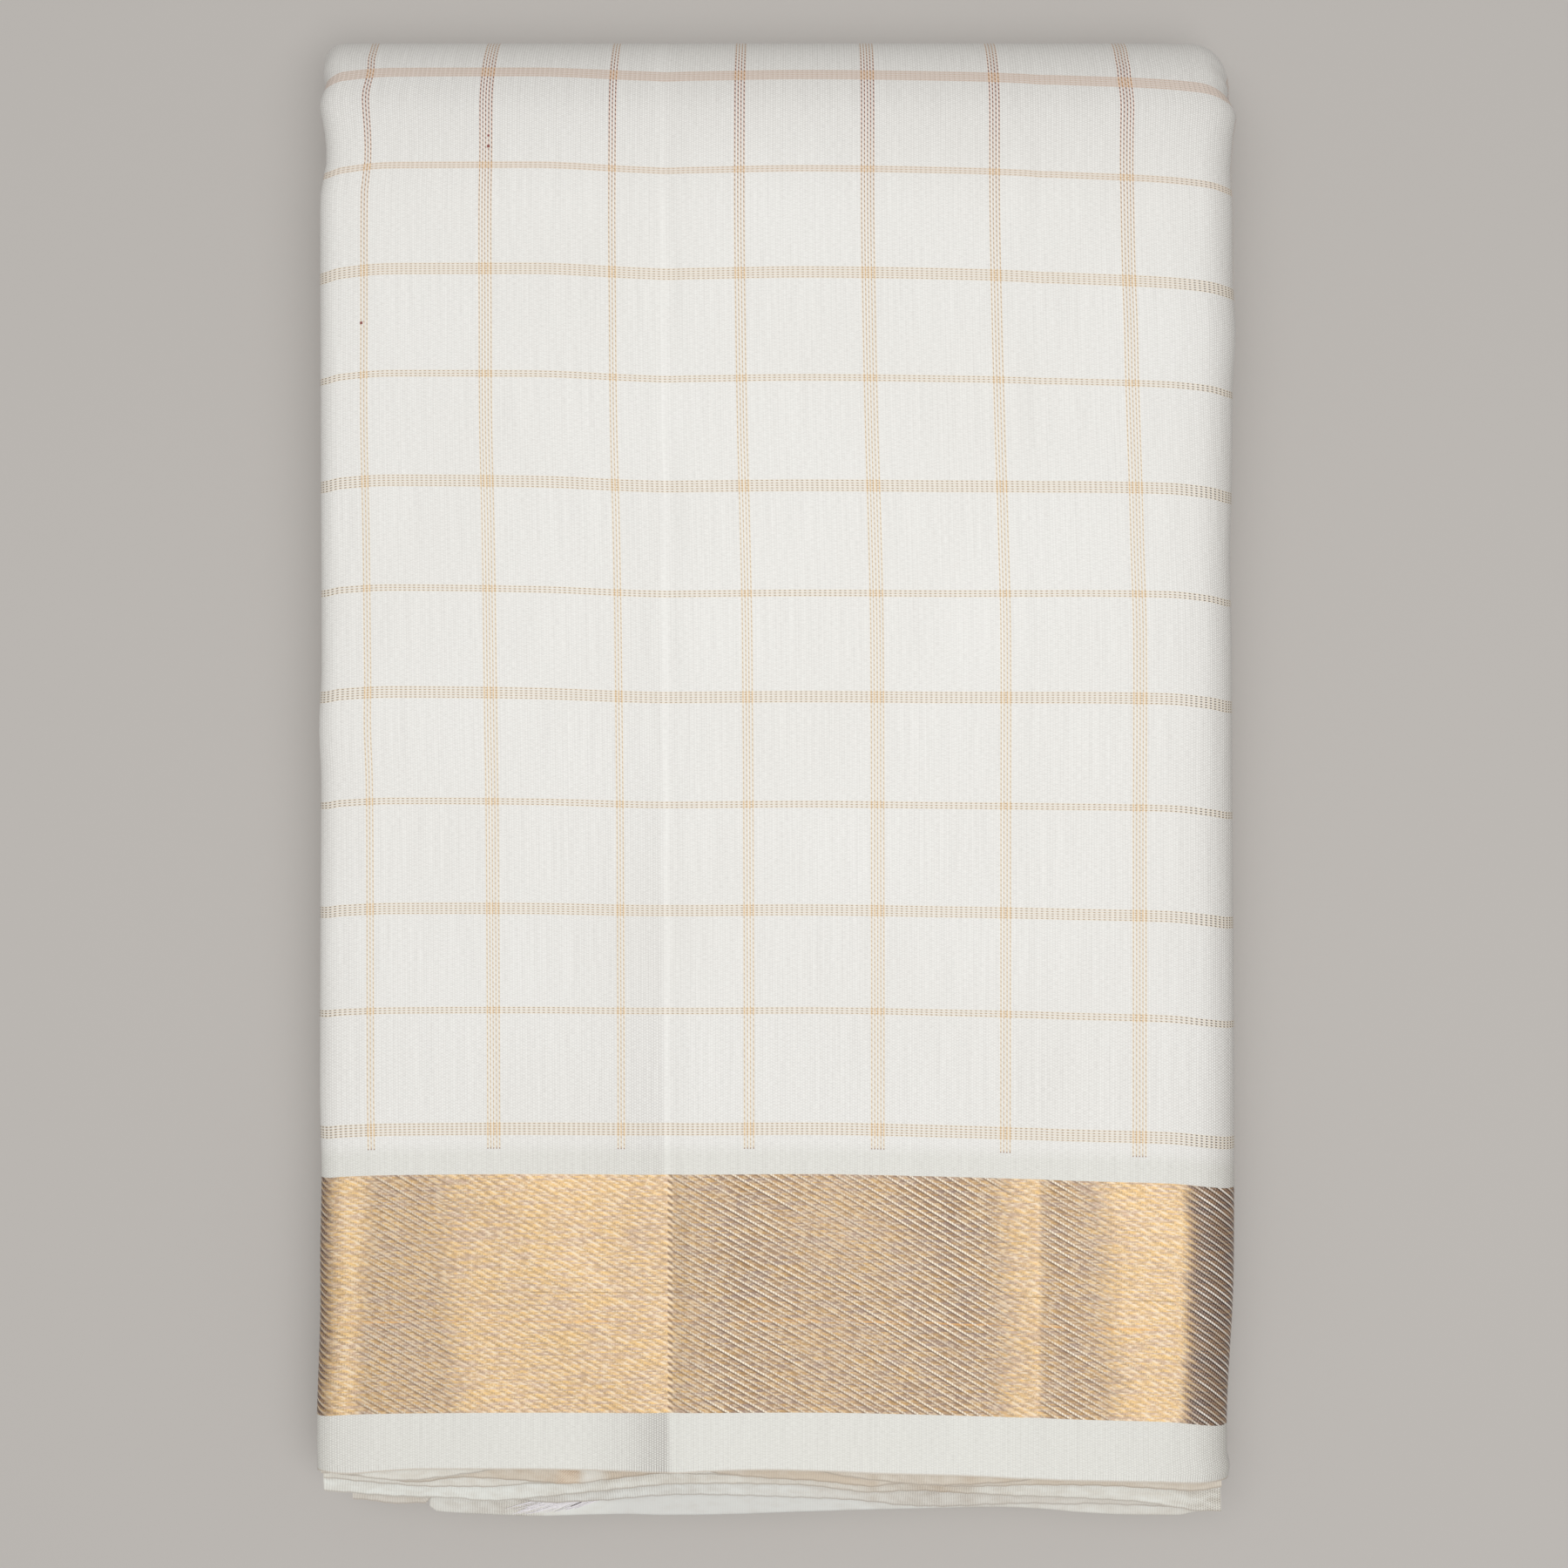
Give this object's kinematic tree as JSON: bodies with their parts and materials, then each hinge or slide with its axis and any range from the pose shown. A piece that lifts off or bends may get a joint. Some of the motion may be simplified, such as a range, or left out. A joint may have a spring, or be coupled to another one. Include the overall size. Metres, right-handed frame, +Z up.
{
  "type": "folded silk angavastram",
  "caption": "Long silk shoulder cloth with woven zari checks and border, folded flat into a thick soft bundle, for wearing over the shoulder once unfolded.",
  "frame": {"origin": "bottom centre of the folded bundle's box, on the surface it lies on", "axes": "+X along the cloth's length, across the bundle; +Y from the near end with the woven edges to the thick fold; +Z up"},
  "size_m": [0.202, 0.3271, 0.032],
  "materials": {
    "outer_stretch": "lustrous plain-weave silk with zari checks and a zari twill border",
    "hidden_layers": "lustrous plain-weave silk",
    "selvedge_leaf": "ribbed silk selvedge",
    "lower_fold": "smooth lustrous silk",
    "cut_end_threads": "glossy loose silk threads"
  },
  "bodies": {
    "root": {"outer_stretch": "outer_stretch", "hidden_layers": "hidden_layers", "selvedge_leaf_1": "selvedge_leaf", "selvedge_leaf_2": "selvedge_leaf", "selvedge_leaf_3": "selvedge_leaf", "selvedge_leaf_4": "selvedge_leaf", "selvedge_leaf_5": "selvedge_leaf", "lower_fold_1": "lower_fold", "lower_fold_2": "lower_fold", "lower_fold_3": "lower_fold", "lower_fold_4": "lower_fold", "cut_end_threads": "cut_end_threads"}
  },
  "joints": []
}
